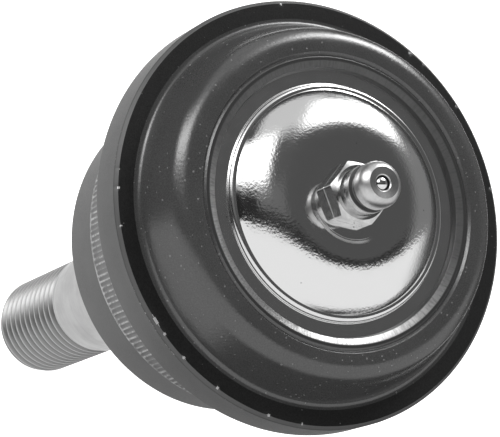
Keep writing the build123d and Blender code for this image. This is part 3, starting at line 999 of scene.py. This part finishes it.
def make_thread(skin, finish):
    """A rolled thread whose rows of points run along the helix, and the chamfer that it runs out in.

    Gives the radius of the thread's end at each angle.
    """
    rows_per_pitch = 14
    turns = int((THREAD_START - STUD_END) / THREAD_PITCH) + 2
    row = np.arange(turns * rows_per_pitch + 1)[:, None] / rows_per_pitch
    angle = STUD_ANGLES
    height = THREAD_START + THREAD_PITCH - THREAD_PITCH * (row - angle / FULL_TURN)
    height = np.clip(height, STUD_END, THREAD_START)
    share = (THREAD_START - height) / THREAD_PITCH + angle / FULL_TURN
    run_in = np.clip((THREAD_START - height) / (0.9 * THREAD_PITCH), 0, 1)
    chamfer = np.clip((THREAD_END - height) / (THREAD_END - STUD_END), 0, 1)
    cone = THREAD_RADIUS + (STUD_END_RADIUS - THREAD_RADIUS) * chamfer
    radius = np.minimum(THREAD_RADIUS - thread_profile(share) * run_in, cone)
    skin.add(radius, angle, height, finish, wrap=False)
    return radius[-1:]


def make_stud():
    """The ball stud: ball, neck, boot seat, taper, rolled thread and centre-drilled end."""
    steel, thread = range(2)
    flat_radius = 4.0
    drill_radius = 1.2
    drill_depth = 3.5
    ball_start = np.arcsin(flat_radius / BALL_RADIUS)
    ball_end = pi - np.arcsin(NECK_RADIUS / BALL_RADIUS)
    lean = np.linspace(ball_start, ball_end, 60)
    ball = np.stack([BALL_RADIUS * np.sin(lean), BALL_HEIGHT + BALL_RADIUS * np.cos(lean)], axis=-1)
    shank_corners = [
        (float(ball[-1, 0]), float(ball[-1, 1]), 0, steel),
        (NECK_RADIUS, NECK_END, 4.0, steel),
        (BOOT_SEAT_RADIUS, BOOT_SEAT_TOP, 6.0, steel),
        (BOOT_SEAT_RADIUS, BOOT_SEAT_END, 0.5, steel),
        (TAPER_END_RADIUS, TAPER_END, 0.4, steel),
        (THREAD_RADIUS, THREAD_START, 0, steel),
    ]
    top = np.array([(0, ball[0, 1])])
    outline = np.concatenate([top, ball, rounded(shank_corners)[0][1:]])
    skin = Skin()
    skin.add(outline[:, :1], STUD_ANGLES, outline[:, 1:], steel, wrap=False)
    end_edge = make_thread(skin, thread)
    end_corners = [
        (STUD_END_RADIUS - 0.3, STUD_END, 0, steel),
        (2.5, STUD_END, 0.1, steel),
        (drill_radius, STUD_END + 2.2, 0, steel),
        (drill_radius, STUD_END + drill_depth, 0, steel),
        (0, STUD_END + drill_depth, 0, steel),
    ]
    end_face = rounded(end_corners)[0]
    inner = np.broadcast_to(end_face[:, :1], (len(end_face), STUD_ANGLES.shape[1]))
    heights = np.concatenate([[STUD_END], end_face[:, 1]])[:, None]
    skin.add(np.concatenate([end_edge, inner]), STUD_ANGLES, heights, steel, wrap=False)
    piece = skin.build("ball_stud_turning", [stud_steel, thread_steel], sharp_angle=28)
    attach(piece, "stud")
    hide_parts("ball_stud")


# Dust boot and its rings


def inset(corners, wall):
    """The corners of an outline's inner face, one wall to the right of the way it runs."""
    moved = []
    for index in range(1, len(corners) - 1):
        before, here, after = (Vector(corners[index + step][:2]) for step in (-1, 0, 1))
        first = (here - before).normalized()
        second = (after - here).normalized()
        first_side = Vector((first.y, -first.x))
        second_side = Vector((second.y, -second.x))
        shift = (first_side + second_side) * wall / (1 + first_side.dot(second_side))
        moved.append(here + shift)
    return moved


def ring_groove(radius, top):
    """The corners of a groove for one of the boot's rings, from its top edge down."""
    depth = 0.8
    width = 1.7
    return [
        (radius, top, 0.15),
        (radius - depth, top, 0.1),
        (radius - depth, top - width, 0.1),
        (radius, top - width, 0.15),
    ]


def make_dust_boot():
    """The rubber boot: bead, fold, bulb and a lip with its ring groove."""
    clearance = 0.05
    wall = 1.6
    bead_radius = node_radius("dust_boot")
    bead_top = node_height("dust_boot", 1)
    ring_top = bead_top - 0.8
    shoulder_radius = 20.08
    shoulder_height = HOUSING_END - 1.4
    fold_radius = 17.9
    bulb_radius = 18.1
    lip_radius = 12.2
    lip_end = node_height("dust_boot", 0)
    lip_top = lip_end + 4.0
    lip_ring_top = lip_top - 1.15
    groove_gap = BOOT_GROOVE_RADIUS + clearance
    rim_gap = BOOT_RIM_RADIUS + clearance
    stud_gap = BOOT_SEAT_RADIUS + clearance
    outer_wall = [
        (shoulder_radius, HOUSING_END - clearance, 0),
        (shoulder_radius, shoulder_height, 1.0),
        (fold_radius, shoulder_height - 2.2, 1.0),
        (bulb_radius, shoulder_height - 4.3, 2.0),
        (lip_radius, lip_top, 0),
        (stud_gap, lip_top, 0),
    ]
    shoulder, fold, bulb, lip = inset(outer_wall, wall)
    outline = [
        (groove_gap, bead_top, 0),
        (bead_radius, bead_top, 0.3),
        *ring_groove(bead_radius, ring_top),
        (bead_radius, bead_top - 3.3, 0.3),
        *outer_wall[1:4],
        (lip_radius, lip_top, 0.5),
        *ring_groove(lip_radius, lip_ring_top),
        (lip_radius, lip_end, 0.3),
        (stud_gap, lip_end, 0.1),
        (stud_gap, lip_top + wall, 0.1),
        (lip.x, lip.y, 0.3),
        (bulb.x, bulb.y, 0.4),
        (fold.x, fold.y, 2.6),
        (shoulder.x, shoulder.y, 0.3),
        (shoulder_radius - wall, HOUSING_END - clearance, 0),
        (rim_gap, HOUSING_END - clearance, 0),
        (rim_gap, BOOT_RIM_TOP + clearance, 0),
        (groove_gap, BOOT_RIM_TOP + clearance, 0),
    ]
    points = rounded([(*corner, 0) for corner in outline])[0]
    closed = np.concatenate([points, points[:1]])
    skin = Skin()
    skin.add(closed[:, :1], round_angles(256), closed[:, 1:])
    piece = skin.build("dust_boot_moulding", [boot_rubber])
    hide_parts("dust_boot")
    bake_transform(piece)


def make_wire_ring(name, node, body):
    """A ring of spring wire wound twice round the boot, filling the place of its node."""
    wire_radius = 0.4
    turns = 2
    low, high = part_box(node)
    centre_radius = high.x / MM - wire_radius
    pitch = (high.z - low.z) / MM - 2 * wire_radius
    steps = 160
    along = np.linspace(0, turns, steps * turns + 1)[:, None]
    rise = pitch * np.clip((along - 0.75) * 2, 0, 1)
    lean = round_angles(12)
    radius = centre_radius + wire_radius * np.cos(lean)
    height = low.z / MM + wire_radius + rise + wire_radius * np.sin(lean)
    skin = Skin()
    skin.add(radius, along * FULL_TURN, height)
    piece = skin.build(name, [ring_steel])
    close_ends(piece)
    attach(piece, body)
    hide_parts(node)


def close_ends(piece):
    """Caps the open ends of a wire."""
    shell = bmesh.new()
    shell.from_mesh(piece.data)
    bmesh.ops.holes_fill(shell, edges=shell.edges)
    shell.to_mesh(piece.data)
    shell.free()


# Inner pieces


def make_check_spring():
    """The check ball's coil, which is squeezed between its seat and the ball."""
    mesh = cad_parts["nipple_check_spring"].data.copy()
    mesh.materials.clear()
    mesh.materials.append(spring_steel)
    piece = bpy.data.objects.new("check_spring_coil", mesh)
    bpy.context.scene.collection.objects.link(piece)
    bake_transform(piece)
    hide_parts("nipple_check_spring")


def finish_inner_pieces():
    """Gives the pieces hidden inside their own finishes."""
    for node, finish in (
        ("preload_disc_spring", spring_steel),
        ("pressure_plate", ring_steel),
        ("upper_bearing", sintered_iron),
        ("lower_bearing", sintered_iron),
    ):
        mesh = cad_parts[node].data
        mesh.materials.clear()
        mesh.materials.append(finish)


# Studio


def add_camera():
    """The camera at the photograph's viewing angle; gives its right, its up and its way back."""
    data = bpy.data.cameras.new("camera")
    data.lens = LENS
    data.sensor_width = SENSOR
    data.clip_start = 0.01
    camera = bpy.data.objects.new("camera", data)
    turn = Matrix.Rotation(VIEW_LEAN, 4, "X") @ Matrix.Rotation(VIEW_ROLL, 4, "Z")
    camera.matrix_world = Matrix.Translation(VIEW_TARGET) @ turn @ Matrix.Translation((0, 0, VIEW_DISTANCE))
    bpy.context.scene.collection.objects.link(camera)
    bpy.context.scene.camera = camera
    return turn.to_3x3()


def light_room(studio):
    """The room that the plated cover mirrors: a white table and two softboxes in a dark room."""
    world = bpy.data.worlds.new("studio")
    world.use_nodes = True
    bpy.context.scene.world = world
    tree = world.node_tree
    tree.nodes.clear()
    way = output(place(tree, "ShaderNodeTexCoord"), "Generated")

    # Chart of the room: degrees off the way back to the camera, to the picture's right and up
    right, up, near = (
        vector_math(tree, "DOT_PRODUCT", {0: way, 1: studio.col[column]}, "Value") for column in range(3)
    )
    off_camera = calculate("ARCCOSINE", near) * (180 / pi)
    aside = calculate("SQRT", right * right + up * up)
    share = off_camera / calculate("MAXIMUM", aside, 0.0001)
    chart_x = right * share
    chart_y = up * share

    def window(left, right_edge, bottom, top, soft):
        """One inside a rectangle of the chart, falling to nothing over a soft edge."""
        past_left = remap(chart_x, left - soft, left + soft)
        before_right = remap(chart_x, right_edge + soft, right_edge - soft)
        past_bottom = remap(chart_y, bottom - soft, bottom + soft)
        before_top = remap(chart_y, top + soft, top - soft)
        return past_left * before_right * past_bottom * before_top

    def fill(level, area, brightness):
        """The room's brightness with one area painted over."""
        return area * brightness + level * (1.0 - area)

    # Windows of the chart: left, right, bottom, top, width of the soft edge, and brightness
    windows = {
        "wall at the right": (82, 130, -10, 70, 12, 0.20),
        "wall round the camera": (-14, 30, -10, 30, 6, 0.14),
        "dark edge of the table": (-60, 80, -10, 13, 3, 0.025),
        "dark corner at the left": (-60, -14, -10, 22, 4, 0.02),
        "ceiling between the softboxes": (-26, 34, 60, 118, 9, 0.62),
        "near softbox": (-57, 2, 32, 61, 10, 2.6),
        "near softbox's lamp": (-48, -6, 39, 55, 5, 6.0),
        "rear softbox": (33, 87, 59, 98, 12, 3.2),
        "rear softbox's lamp": (44, 78, 67, 90, 6, 11.0),
    }
    level = 0.082
    for *edges, brightness in windows.values():
        level = fill(level, window(*edges), brightness)
    behind_part = remap(off_camera, 128, 150)
    table = remap(chart_y, 1.5, -1.5) * remap(chart_x, 125, 92)
    near_table_edge = remap(chart_y, -66, -80)
    level = fill(level, behind_part, 0.15)
    level = fill(level, table, 0.88)
    level = fill(level, near_table_edge, 0.04)
    seen_direct = output(place(tree, "ShaderNodeLightPath"), "Is Camera Ray")
    strength = calculate("MAXIMUM", level, seen_direct)
    background = place(tree, "ShaderNodeBackground", {"Color": grey(1.0), "Strength": strength})
    sky = place(tree, "ShaderNodeOutputWorld")
    tree.links.new(background.outputs[0], sky.inputs["Surface"])


def add_floor():
    """A plain white floor under the stud's end."""
    half_size = 0.14
    mesh = bpy.data.meshes.new("floor")
    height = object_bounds()[0].z - 0.0002
    sides = ((-1, -1), (1, -1), (1, 1), (-1, 1))
    corners = [(half_size * x, half_size * y, height) for x, y in sides]
    mesh.from_pydata(corners, [], [(0, 1, 2, 3)])
    mesh.materials.append(white_floor)
    floor = bpy.data.objects.new("floor", mesh)
    bpy.context.scene.collection.objects.link(floor)


make_housing()
make_cover_plate()
make_nipple()
make_check_ball()
make_stud()
make_dust_boot()
make_wire_ring("boot_clamp_wire", "boot_clamp_ring", "housing")
make_wire_ring("boot_neck_wire", "boot_neck_ring", "boot_end")
make_check_spring()
finish_inner_pieces()

studio = add_camera()
light_room(studio)
add_floor()
bpy.context.scene.view_settings.view_transform = "Standard"
